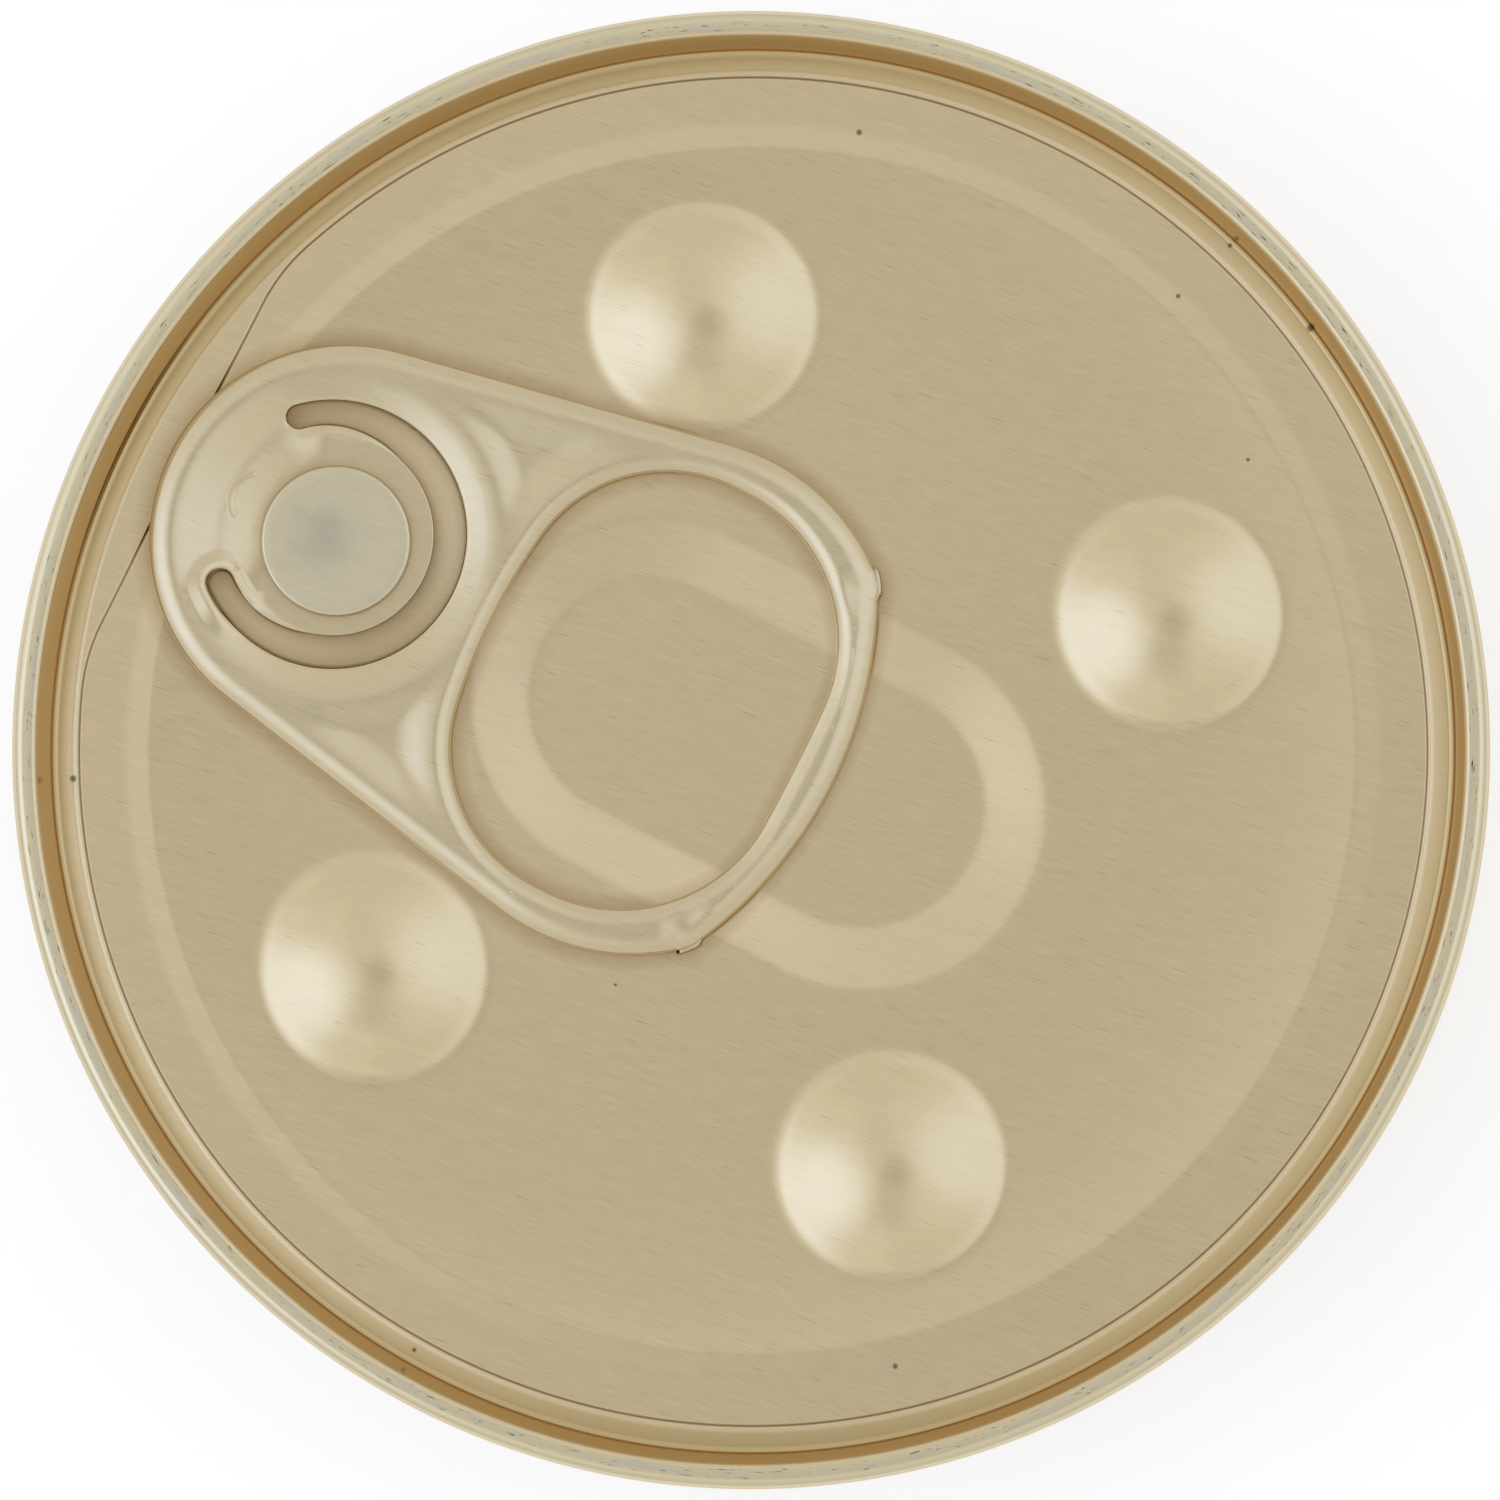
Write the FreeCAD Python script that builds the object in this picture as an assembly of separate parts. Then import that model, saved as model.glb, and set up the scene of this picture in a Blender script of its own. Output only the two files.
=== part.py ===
# Sealed 85 g pet-food can: drawn aluminium body, easy-open end, curled ring-pull tab.
# Millimetres, +Z up, origin at the centre of the foot, the tab's nose towards -X.
import FreeCAD, Part

import math
import os

from FreeCAD import Vector

# --- whole can -----------------------------------------------------------------------------
CAN_HEIGHT = 38.0            # foot to the top of the double seam
SEAM_DIAMETER = 68.7         # over the double seam
BODY_SHEET = 0.21            # drawn body
LID_SHEET = 0.23             # easy-open end
TAB_SHEET = 0.28             # pull tab

# --- double seam ---------------------------------------------------------------------------
SEAM_HEIGHT = 2.9
LAYER_GAP = 0.02             # between folded layers
COVER_HOOK = 1.8             # lid layer folded up inside the seam
BODY_HOOK = 1.85             # body layer folded down inside the seam
WALL_LEAN = 4.0              # degrees, chuck wall and the layers that follow it
SEAM_SHOULDER = 0.4          # bends over the top of the seam

# --- body ----------------------------------------------------------------------------------
NECK_IN = 0.35               # body wall steps in below the seam
NECK_HEIGHT = 1.3
NECK_BEND = 1.0
WALL_DRAFT = 2.0             # degrees, the wall narrows so that the foot nests in a rim below
HEEL_RADIUS = 4.0            # wall to foot
FOOT_WIDTH = 1.6             # flat ring the can stands on
FOOT_RADIUS = 1.1            # foot to the base recess
BASE_RECESS = 1.1            # base panel above the foot
BASE_STEP = 0.4              # inner base panel above the outer one
BASE_STEP_RADIUS = 19.0
BASE_BEND = 0.6
FILL_CLEARANCE = 0.1         # below the lowest point of the lid

# --- lid panel -----------------------------------------------------------------------------
PANEL_DEPTH = 3.3            # seam top to the outer panel
COUNTERSINK_DEPTH = 0.3      # groove at the foot of the chuck wall, below the panel
COUNTERSINK_WIDTH = 0.95
CHUCK_BEND = 0.45
PANEL_BEND = 0.3
SCORE_INSET = 0.33           # tear line, inside the panel's edge
SCORE_WIDTH = 0.12
SCORE_DEPTH = 0.09
SCORE_FLAT = 1.6             # how far its straight stretch under the nose comes in
SCORE_CORNER = 9.0
RIDGE_INSET = 3.3            # low ridge round the inner panel, inside the tear line
RIDGE_WIDTH = 1.1            # its outer slope
RIDGE_RISE = 0.04
DISH_DEPTH = 0.18            # the inner panel sinks below the outer one in a shallow dish
DISH_INSET = 7.0             # from the ridge to where the dish's slope would meet its floor
DISH_BEND = 6.6              # the long bend between them reaches this far each way
DOME_RADIUS = 5.1            # four raised stiffening domes
DOME_HEIGHT = 1.0
DOME_MARGIN = 2.5            # the other two, to the ridge
DOME_TAB_GAP = 0.66          # two of them stand beside the tab's straight sides,
DOME_TAB_STATION = 7.8       # this far along towards the nose from abreast the middle
DOME_FAR_ANGLE = 44.8        # degrees each side of +X, the other two
WELL_SETBACK = 8.0           # finger well: its nose end's centre from the finger hole's edge
WELL_SPAN = 11.1             # between the centres of its two round ends
WELL_TOP_RADIUS = 8.45
WELL_FLOOR_RADIUS = 5.66
WELL_DEPTH = 0.35

# --- rivet ---------------------------------------------------------------------------------
RIVET_SETBACK = 8.5          # from the tab's tip
RIVET_HEAD_RADIUS = 3.53
RIVET_HEAD_HEIGHT = 0.42
RIVET_HEAD_EDGE = 0.16
RIVET_HEAD_DISH = 0.06
RIVET_SHANK_RADIUS = 2.2
RIVET_WALL = 0.45            # hollow underneath, as coined from the panel
RIVET_FIT = 0.03             # around the shank, and above and below the tab's tongue

# --- pull tab ------------------------------------------------------------------------------
TAB_LENGTH = 34.55
TAB_HALF_WIDTH = 12.3
TAB_LIFT = 0.08              # under the curled rims, above the outer panel
TIP_OVERLAP = 0.4            # the tip reaches past the straight stretch of the score
CURL_RADIUS = 0.52
CURL_OPENING = 40.0          # degrees left open under the web
WEB_SINK = 0.17              # top of the web below the crest of the curls
NOSE_RADIUS = 9.2
SHOULDER_SETBACK = 9.35      # from the finger end
SHOULDER_RADIUS = 10.25
HEEL_ARC = 20.2              # curve of the finger end
CORNER_RADIUS = 3.0          # between shoulder and finger end
RING_WIDTH = 1.97            # band round the finger hole
HOLE_LENGTH = 15.65
HOLE_FAR_CORNER = 7.6
HOLE_NOSE_CORNER = 7.05
HOLE_FAR_BULGE = 0.05        # rise of the curve between two corners
HOLE_NOSE_BULGE = 0.25
TONGUE_MARGIN = 0.97         # tongue round the rivet head
SLOT_WIDTH = 1.55            # C-shaped slot round the tongue
SLOT_ANGLE = 125.0           # degrees each side of +X
BEAD_WIDTH = 2.0             # raised bead round the slot
BEAD_RISE = 0.14
BEAD_BEND = 0.4
STUB_WIDTH = 0.7             # sheared stubs of the carrier strip
STUB_LENGTH = 0.22
STUB_TILT = 12.0             # degrees, from the middle of the corner towards the shoulder

UP = Vector(0, 0, 1)
TALL = 20.0                  # height of the cutting prisms

# Levels and places that follow from the sizes above.
LEAN = math.tan(math.radians(WALL_LEAN))
PANEL_TOP = CAN_HEIGHT - PANEL_DEPTH
FLOOR_TOP = PANEL_TOP - DISH_DEPTH
SUNK_MID = PANEL_TOP - COUNTERSINK_DEPTH - LID_SHEET / 2
SEAM_WALL = (SEAM_DIAMETER - LID_SHEET) / 2
LAYER_PITCH = (LID_SHEET + BODY_SHEET) / 2 + LAYER_GAP
BODY_HOOK_R = SEAM_WALL - LAYER_PITCH
COVER_HOOK_R = SEAM_WALL - 2 * LAYER_PITCH
BODY_WALL_R = SEAM_WALL - 3 * LAYER_PITCH
CHUCK_WALL_R = SEAM_WALL - 4 * LAYER_PITCH
CHUCK_FOOT_R = CHUCK_WALL_R - (CAN_HEIGHT - LID_SHEET / 2 - SUNK_MID) * LEAN
PANEL_EDGE_R = CHUCK_FOOT_R - COUNTERSINK_WIDTH
SCORE_R = PANEL_EDGE_R - COUNTERSINK_DEPTH - SCORE_INSET
RIDGE_R = SCORE_R - RIDGE_INSET
DISH_R = RIDGE_R - DISH_INSET
DOME_ORBIT = RIDGE_R - DOME_MARGIN - DOME_RADIUS
TIP_X = SCORE_FLAT - SCORE_R - TIP_OVERLAP
HEEL_X = TIP_X + TAB_LENGTH
NOSE = (TIP_X + NOSE_RADIUS, 0.0, NOSE_RADIUS)
SHOULDER = (HEEL_X - SHOULDER_SETBACK, TAB_HALF_WIDTH - SHOULDER_RADIUS, SHOULDER_RADIUS)
HOLE_FAR_X = HEEL_X - RING_WIDTH
HOLE_NOSE_X = HOLE_FAR_X - HOLE_LENGTH
RIVET_X = TIP_X + RIVET_SETBACK
TONGUE_RADIUS = RIVET_HEAD_RADIUS + TONGUE_MARGIN
SLOT_OUTER = TONGUE_RADIUS + SLOT_WIDTH
EYE_RADIUS = SLOT_OUTER + BEAD_WIDTH
TONGUE_MID = PANEL_TOP + RIVET_FIT + TAB_SHEET / 2
CURL_CENTRE = PANEL_TOP + TAB_LIFT + CURL_RADIUS
WEB_MID = CURL_CENTRE + CURL_RADIUS - WEB_SINK - TAB_SHEET / 2


def rounded_edges(corners):
    """Edges through corners (point, radius), each corner rounded by its radius."""
    edges = []
    start = corners[0][0]
    for (before, _), (corner, radius), (after, _) in zip(corners, corners[1:], corners[2:]):
        arriving = (corner - before).normalize()
        leaving = (after - corner).normalize()
        turn = arriving.getAngle(leaving)
        if radius <= 0 or turn < 1e-6:
            edges.append(Part.makeLine(start, corner))
            start = corner
            continue
        reach = radius * math.tan(turn / 2)
        first = corner - arriving * reach
        last = corner + leaving * reach
        inward = (leaving - arriving).normalize()
        middle = corner + inward * radius * (1 / math.cos(turn / 2) - 1)
        if (first - start).Length > 1e-5:
            edges.append(Part.makeLine(start, first))
        edges.append(Part.Arc(first, middle, last).toShape())
        start = last
    if (corners[-1][0] - start).Length > 1e-5:
        edges.append(Part.makeLine(start, corners[-1][0]))
    return edges


def offset_corners(path, by):
    """Corners of path, (r, z, bend radius) in XZ, shifted by a distance to its left."""
    points = [Vector(r, 0, z) for r, z, _ in path]
    runs = [(b - a).normalize() for a, b in zip(points, points[1:])]
    runs = [runs[0]] + runs + [runs[-1]]
    corners = []
    for point, (_, _, bend), into, out in zip(points, path, runs, runs[1:]):
        left_in = Vector(-into.z, 0, into.x)
        left_out = Vector(-out.z, 0, out.x)
        shift = (left_in + left_out) * (by / (1 + left_in.dot(left_out)))
        radius = bend - by if left_in.dot(out) > 0 else bend + by
        corners.append((point + shift, radius if bend else 0))
    return corners


def closed_face(corners):
    """Face inside a closed outline of (point, radius) corners."""
    return Part.Face(Part.Wire(rounded_edges(corners + [corners[0]])))


def sheet_section(path, sheet):
    """Section in XZ of a bent sheet whose mid-line is path: (r, z, bend radius) corners."""
    left = offset_corners(path, sheet / 2)
    right = offset_corners(path, -sheet / 2)
    return closed_face(left + right[::-1])


def spun(face):
    """Solid of revolution about the can's axis."""
    return face.revolve(Vector(0, 0, 0), UP, 360)


def wrap_angle(first, second):
    """Direction of the common outer tangent's normal, from circle first on to second."""
    (x1, y1, r1), (x2, y2, r2) = first, second
    across = Vector(x2 - x1, y2 - y1, 0)
    share = (r1 - r2) / across.Length
    if abs(share) > 1 - 1e-6:
        share = math.copysign(1.0, share)
    return math.atan2(across.y, across.x) - math.acos(share)


def heading(angle):
    return Vector(math.cos(angle), math.sin(angle), 0)


def loop_runs(circles):
    """Runs of the convex outline, anticlockwise, that wraps circles (x, y, radius) in turn."""
    following = circles[1:] + circles[:1]
    touches = [wrap_angle(here, there) for here, there in zip(circles, following)]
    runs = []
    for (x, y, radius), (nx, ny, nr), start, end in zip(
            circles, following, touches[-1:] + touches, touches):
        centre = Vector(x, y, 0)
        runs.append(("arc", centre, radius, start, (end - start) % (2 * math.pi)))
        leave = centre + heading(end) * radius
        reach = Vector(nx, ny, 0) + heading(end) * nr - leave
        if reach.Length > 1e-4:
            runs.append(("line", leave, reach, end, 0))
    return runs


def grown(circles, by):
    """The same outline offset outwards by a distance."""
    return [(x, y, r + by) for x, y, r in circles]


def loop_face(circles, z):
    edges = []
    for kind, place, size, start, sweep in loop_runs(circles):
        if kind == "arc":
            ends = [math.degrees(start), math.degrees(start + sweep)]
            edges.append(Part.makeCircle(size, place + UP * z, UP, *ends))
        else:
            edges.append(Part.makeLine(place + UP * z, place + size + UP * z))
    return Part.Face(Part.Wire(edges))


def prism(circles, z, height):
    return loop_face(circles, z).extrude(UP * height)


def fused(shapes):
    return shapes[0].multiFuse(shapes[1:]).removeSplitter()


def rolled_rim(circles, section):
    """Carries section, drawn in XZ about the loop with +X outwards, once round the loop."""
    pieces = []
    for kind, place, size, start, sweep in loop_runs(circles):
        foot = place + heading(start) * size if kind == "arc" else place
        turn = FreeCAD.Rotation(UP, math.degrees(start))
        here = section.copy()
        here.Placement = FreeCAD.Placement(foot, turn) * section.Placement
        if kind == "arc":
            pieces.append(here.revolve(place, UP, math.degrees(sweep)))
        else:
            pieces.append(here.extrude(size))
    return fused(pieces)


def tangent_arc(corner, tip_x):
    """Circle on the X axis through tip_x that also wraps the corner circle and its mirror."""
    x, y, r = corner
    side = 1 if tip_x > x else -1
    gap = side * (tip_x - x)
    radius = (r * r - gap * gap - y * y) / (2 * (r - gap))
    return (tip_x - side * radius, 0.0, radius)


def mirrored(circles):
    """The same circles across the X axis, in the order that keeps an outline anticlockwise."""
    return [(x, -y, r) for x, y, r in reversed(circles)]


def inner_tangent(big, small, radius):
    """Circle of a radius inside two overlapping circles and touching both, above the X axis."""
    across = Vector(small[0] - big[0], small[1] - big[1], 0)
    from_big, from_small = big[2] - radius, small[2] - radius
    along = (from_big ** 2 - from_small ** 2 + across.Length ** 2) / (2 * across.Length)
    aside = math.sqrt(from_big ** 2 - along ** 2)
    unit = across.normalize()
    place = Vector(big[0], big[1], 0) + unit * along + Vector(-unit.y, unit.x, 0) * aside
    return (place.x, place.y, radius)


# --- can body --------------------------------------------------------------------------------
def make_body():
    """Drawn can with its contents, and the flange hooked into the double seam."""
    half = BODY_SHEET / 2
    draft = math.tan(math.radians(WALL_DRAFT))
    fold_top = CAN_HEIGHT - LID_SHEET - LAYER_GAP - half
    hook_bend = (BODY_HOOK_R - BODY_WALL_R) / 2
    fill_top = FLOOR_TOP - WELL_DEPTH - LID_SHEET - FILL_CLEARANCE
    neck_top = fill_top - NECK_BEND / 2
    neck_r = BODY_WALL_R - (fold_top - neck_top) * LEAN
    neck_foot = neck_top - NECK_HEIGHT
    wall_r = neck_r - NECK_IN
    heel_r = wall_r - neck_foot * draft
    foot_inner = heel_r - HEEL_RADIUS - FOOT_WIDTH
    wall = [
        (foot_inner, half, 0),
        (heel_r, half, HEEL_RADIUS),
        (wall_r, neck_foot, NECK_BEND),
        (neck_r, neck_top, NECK_BEND),
        (BODY_WALL_R, fold_top, hook_bend),
        (BODY_HOOK_R, fold_top, hook_bend),
        (BODY_HOOK_R, fold_top - BODY_HOOK, 0),
    ]
    outside = offset_corners(wall, -half)[1:]
    inside = offset_corners(wall, half)[:3:-1]
    fill_r = BODY_WALL_R - (fold_top - fill_top) * LEAN - half / math.cos(math.radians(WALL_LEAN))
    base_outer = foot_inner - FOOT_RADIUS
    base = [
        (Vector(0, 0, BASE_RECESS + BASE_STEP), 0),
        (Vector(BASE_STEP_RADIUS, 0, BASE_RECESS + BASE_STEP), BASE_BEND),
        (Vector(BASE_STEP_RADIUS + BASE_STEP, 0, BASE_RECESS), BASE_BEND),
        (Vector(base_outer, 0, BASE_RECESS), BASE_BEND),
        (Vector(foot_inner, 0, 0), FOOT_RADIUS),
    ]
    top = [(Vector(fill_r, 0, fill_top), 0), (Vector(0, 0, fill_top), 0)]
    return spun(closed_face(base + outside + inside + top))


# --- lid ---------------------------------------------------------------------------------------
def lid_sheet():
    """Seam, chuck wall, countersink, outer panel, ridge and dish, spun from one bent sheet."""
    mid = LID_SHEET / 2
    dish_slope = math.atan2(DISH_DEPTH + RIDGE_RISE, DISH_INSET)
    crown = CAN_HEIGHT - mid
    seam_bend = (SEAM_WALL - COVER_HOOK_R) / 2
    seam_foot = CAN_HEIGHT - SEAM_HEIGHT + mid
    return spun(sheet_section([
        (COVER_HOOK_R, seam_foot + COVER_HOOK, 0),
        (COVER_HOOK_R - COVER_HOOK * LEAN / 2, seam_foot, seam_bend),
        (SEAM_WALL, seam_foot, seam_bend),
        (SEAM_WALL, crown, SEAM_SHOULDER),
        (CHUCK_WALL_R, crown, SEAM_SHOULDER),
        (CHUCK_FOOT_R, SUNK_MID, CHUCK_BEND),
        (PANEL_EDGE_R, SUNK_MID, PANEL_BEND),
        (PANEL_EDGE_R - COUNTERSINK_DEPTH, PANEL_TOP - mid, PANEL_BEND),
        (RIDGE_R + RIDGE_WIDTH, PANEL_TOP - mid, 0),
        (RIDGE_R, PANEL_TOP + RIDGE_RISE - mid, 0),
        (DISH_R, FLOOR_TOP - mid, DISH_BEND / math.tan(dish_slope / 2)),
        (0, FLOOR_TOP - mid, 0),
    ], LID_SHEET))


def dome(x, y):
    """Spherical cap standing on the inner panel."""
    rim = Vector(DOME_RADIUS, 0, 0)
    crest = Vector(0, 0, DOME_HEIGHT)
    sphere = (DOME_RADIUS ** 2 + DOME_HEIGHT ** 2) / (2 * DOME_HEIGHT)
    half = math.asin(DOME_RADIUS / sphere) / 2
    middle = Vector(sphere * math.sin(half), 0, DOME_HEIGHT - sphere * (1 - math.cos(half)))
    foot = Vector(0, 0, 0)
    edges = [Part.makeLine(foot, rim), Part.Arc(rim, middle, crest).toShape(),
             Part.makeLine(crest, foot)]
    cap = spun(Part.Face(Part.Wire(edges)))
    cap.translate(Vector(x, y, FLOOR_TOP))
    return cap


def domes():
    """Two domes beside the tab, clear of its straight sides, and two beyond it."""
    outward = wrap_angle(SHOULDER, NOSE)
    tab_side = heading(outward).dot(Vector(NOSE[0], 0, 0)) + NOSE_RADIUS
    beside = (heading(outward) * (tab_side + DOME_TAB_GAP + DOME_RADIUS)
              + heading(outward + math.pi / 2) * DOME_TAB_STATION)
    beyond = heading(math.radians(DOME_FAR_ANGLE)) * DOME_ORBIT
    return [dome(centre.x, side * centre.y) for centre in (beside, beyond) for side in (1, -1)]


def finger_well():
    """Hollow pressed into the panel so that a fingertip gets under the ring."""
    nose_x = HOLE_NOSE_X + WELL_SETBACK
    rims = []
    for radius, z in ((WELL_TOP_RADIUS, FLOOR_TOP), (WELL_FLOOR_RADIUS, FLOOR_TOP - WELL_DEPTH)):
        ends = [(nose_x + WELL_SPAN, 0.0, radius), (nose_x, 0.0, radius)]
        rims.append(loop_face(ends, z).OuterWire)
    return Part.makeLoft(rims, True, True)


def score_groove():
    """Line that the lid tears along: a circle with a straight stretch under the nose."""
    x = SCORE_CORNER + SCORE_FLAT - SCORE_R
    y = math.sqrt((SCORE_R - SCORE_CORNER) ** 2 - x * x)
    line = [(0.0, 0.0, SCORE_R), (x, y, SCORE_CORNER), (x, -y, SCORE_CORNER)]
    outer = prism(grown(line, SCORE_WIDTH / 2), PANEL_TOP - SCORE_DEPTH, 2 * SCORE_DEPTH)
    inner = prism(grown(line, -SCORE_WIDTH / 2), PANEL_TOP - SCORE_DEPTH, 2 * SCORE_DEPTH)
    return outer.cut(inner)


def rivet():
    """Hollow rivet coined from the panel and headed over the tab's tongue."""
    under = FLOOR_TOP - LID_SHEET
    seat = PANEL_TOP + TAB_SHEET + 2 * RIVET_FIT
    crown = seat + RIVET_HEAD_HEIGHT
    bore = RIVET_SHANK_RADIUS - RIVET_WALL
    corners = [
        (Vector(0, 0, crown - RIVET_HEAD_DISH), 0),
        (Vector(bore, 0, crown), 0),
        (Vector(RIVET_HEAD_RADIUS, 0, crown), RIVET_HEAD_EDGE),
        (Vector(RIVET_HEAD_RADIUS, 0, seat), RIVET_HEAD_EDGE),
        (Vector(RIVET_SHANK_RADIUS, 0, seat), 0),
        (Vector(RIVET_SHANK_RADIUS, 0, under), 0),
        (Vector(bore, 0, under), 0),
        (Vector(bore, 0, seat), RIVET_HEAD_EDGE),
        (Vector(0, 0, seat), 0),
    ]
    return spun(closed_face(corners))


def make_lid():
    under = Vector(0, 0, -LID_SHEET)
    caps = domes()
    well = finger_well()
    lid = fused([lid_sheet(), well.translated(under)] + caps)
    lid = lid.cut([well, score_groove()] + [cap.translated(under) for cap in caps])
    bore_r = RIVET_SHANK_RADIUS - RIVET_WALL
    bore = Part.makeCylinder(bore_r, TALL, Vector(0, 0, FLOOR_TOP - TALL / 2), UP)
    at_rivet = Vector(RIVET_X, 0, 0)
    return fused([lid.cut(bore.translated(at_rivet)), rivet().translated(at_rivet)])


# --- pull tab ----------------------------------------------------------------------------------
def tab_outline():
    """Finger end, corner, shoulder and nose, anticlockwise."""
    heel = (HEEL_X - HEEL_ARC, 0.0, HEEL_ARC)
    upper = [inner_tangent(heel, SHOULDER, CORNER_RADIUS), SHOULDER]
    return [heel] + upper + [NOSE] + mirrored(upper)


def finger_hole():
    """Finger hole inside a band of even width at the finger end and the shoulders."""
    half_width = TAB_HALF_WIDTH - RING_WIDTH
    far_corner = (HOLE_FAR_X - HOLE_FAR_BULGE - HOLE_FAR_CORNER,
                  half_width - HOLE_FAR_CORNER, HOLE_FAR_CORNER)
    nose_corner = (HOLE_NOSE_X + HOLE_NOSE_BULGE + HOLE_NOSE_CORNER,
                   half_width - HOLE_NOSE_CORNER, HOLE_NOSE_CORNER)
    far = tangent_arc(far_corner, HOLE_FAR_X)
    nose = tangent_arc(nose_corner, HOLE_NOSE_X)
    upper = [far_corner, nose_corner]
    return [far] + upper + [nose] + mirrored(upper)


def curl(side):
    """Section of an edge rolled under; side is +1 where the sheet's free edge faces +X."""
    inner = CURL_RADIUS - TAB_SHEET
    start, end = 172.0 - 360.0 + CURL_OPENING, 172.0
    outer_arc = Part.makeCircle(CURL_RADIUS, Vector(), Vector(0, -1, 0), start, end)
    inner_arc = Part.makeCircle(inner, Vector(), Vector(0, -1, 0), start, end)
    ends = [Part.makeLine(a.Point, b.Point) for a, b in
            zip(outer_arc.Vertexes, inner_arc.Vertexes)]
    edges = Part.__sortEdges__([outer_arc, inner_arc] + ends)
    face = Part.Face(Part.Wire(edges))
    if side < 0:
        face = face.mirror(Vector(), Vector(1, 0, 0))
    return face.translated(UP * CURL_CENTRE)


def slot():
    """C-shaped cutter about the origin, open towards the nose."""
    low = Vector(0, 0, PANEL_TOP - TALL / 2)
    outer = Part.makeCylinder(SLOT_OUTER, TALL, low, UP, 2 * SLOT_ANGLE)
    ring = outer.cut(Part.makeCylinder(TONGUE_RADIUS, TALL, low, UP))
    ring.rotate(Vector(), UP, -SLOT_ANGLE)
    ends = []
    for side in (1, -1):
        centre = heading(math.radians(side * SLOT_ANGLE)) * (TONGUE_RADIUS + SLOT_WIDTH / 2)
        ends.append(Part.makeCylinder(SLOT_WIDTH / 2, TALL, low + centre, UP))
    return ring.multiFuse(ends)


def tab_eye():
    """Tongue under the rivet head, ramp to the nose and bead round the slot."""
    bead_mid = WEB_MID + BEAD_RISE
    eye = spun(sheet_section([
        (RIVET_SHANK_RADIUS + RIVET_FIT, TONGUE_MID, 0),
        (TONGUE_RADIUS, TONGUE_MID, BEAD_BEND),
        (SLOT_OUTER + BEAD_WIDTH / 4, bead_mid, BEAD_BEND),
        (SLOT_OUTER + BEAD_WIDTH * 3 / 4, bead_mid, BEAD_BEND),
        (EYE_RADIUS, WEB_MID, BEAD_BEND),
        (EYE_RADIUS + BEAD_BEND, WEB_MID, 0),
    ], TAB_SHEET))
    return eye.cut(slot()).translated(Vector(RIVET_X, 0, 0))


def carrier_stubs():
    """Two sheared stubs, at the corners, where the tab was cut from its carrier strip."""
    outline = tab_outline()
    stubs = []
    for (x, y, radius), shoulder, side in (
            (outline[1], SHOULDER, 1), (outline[-1], mirrored([SHOULDER])[0], -1)):
        out = math.atan2(y, x - outline[0][0]) + math.atan2(y - shoulder[1], x - shoulder[0])
        stub = Part.makeBox(CURL_RADIUS + STUB_LENGTH, STUB_WIDTH, TAB_SHEET)
        inside = Vector(radius - CURL_RADIUS, -STUB_WIDTH / 2, CURL_CENTRE - TAB_SHEET / 2)
        stub.translate(inside)
        stub.rotate(Vector(), UP, math.degrees(out) / 2 + side * STUB_TILT)
        stubs.append(stub.translated(Vector(x, y, 0)))
    return stubs


def make_tab():
    rim = grown(tab_outline(), -CURL_RADIUS)
    hole = grown(finger_hole(), CURL_RADIUS)
    tuck = (CURL_RADIUS - TAB_SHEET / 2) * math.cos(math.radians(CURL_OPENING / 2))
    low = PANEL_TOP - TALL / 2
    plan = prism(grown(rim, -tuck), low, TALL).cut(prism(grown(hole, tuck), low, TALL))
    slab = prism(grown(rim, -tuck), WEB_MID - TAB_SHEET / 2, TAB_SHEET)
    eye_disc = Part.makeCylinder(EYE_RADIUS + BEAD_BEND / 2, TALL, Vector(RIVET_X, 0, low), UP)
    web = slab.common(plan).cut(eye_disc)
    eye = tab_eye().common(plan)
    rims = [rolled_rim(rim, curl(1)), rolled_rim(hole, curl(-1))]
    return fused([web, eye] + rims + carrier_stubs())


def main():
    os.makedirs("parts", exist_ok=True)
    parts = {"can_body": make_body(), "lid": make_lid(), "pull_tab": make_tab()}
    for node, shape in parts.items():
        solids = len(shape.Solids)
        box = shape.BoundBox
        print(f"{node}: {solids} solid, valid {shape.isValid()}, {shape.Volume:.1f} mm3, "
              f"z {box.ZMin:.2f} to {box.ZMax:.2f}, x {box.XMin:.2f} to {box.XMax:.2f}")
        shape.exportStep(f"parts/{node}.step")


main()
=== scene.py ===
import math

import bpy
import numpy as np
from mathutils import Matrix, Vector
from mathutils.geometry import delaunay_2d_cdt
from mathutils.kdtree import KDTree


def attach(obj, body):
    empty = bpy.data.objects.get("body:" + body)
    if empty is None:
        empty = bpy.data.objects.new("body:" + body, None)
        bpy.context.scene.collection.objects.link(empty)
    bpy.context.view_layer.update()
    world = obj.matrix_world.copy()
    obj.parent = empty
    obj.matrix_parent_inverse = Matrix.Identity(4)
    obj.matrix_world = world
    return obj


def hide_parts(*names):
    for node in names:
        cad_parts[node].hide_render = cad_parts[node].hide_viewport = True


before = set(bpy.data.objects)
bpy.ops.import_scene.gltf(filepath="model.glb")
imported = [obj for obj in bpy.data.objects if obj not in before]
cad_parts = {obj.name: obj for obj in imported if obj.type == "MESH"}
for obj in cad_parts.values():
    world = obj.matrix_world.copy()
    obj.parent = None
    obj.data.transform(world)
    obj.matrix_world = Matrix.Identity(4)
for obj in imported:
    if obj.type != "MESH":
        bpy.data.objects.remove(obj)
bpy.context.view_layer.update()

# --- drawn body ---------------------------------------------------------------------------------
# A shallow cup drawn in two strokes from gold-lacquered aluminium sheet. The wall leans in towards
# a rounded heel, steps in under the seam, and the can stands on a narrow ring round a raised base.
MM = 0.001
SPIN_STEPS = 360                # facets round every spun shape


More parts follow.
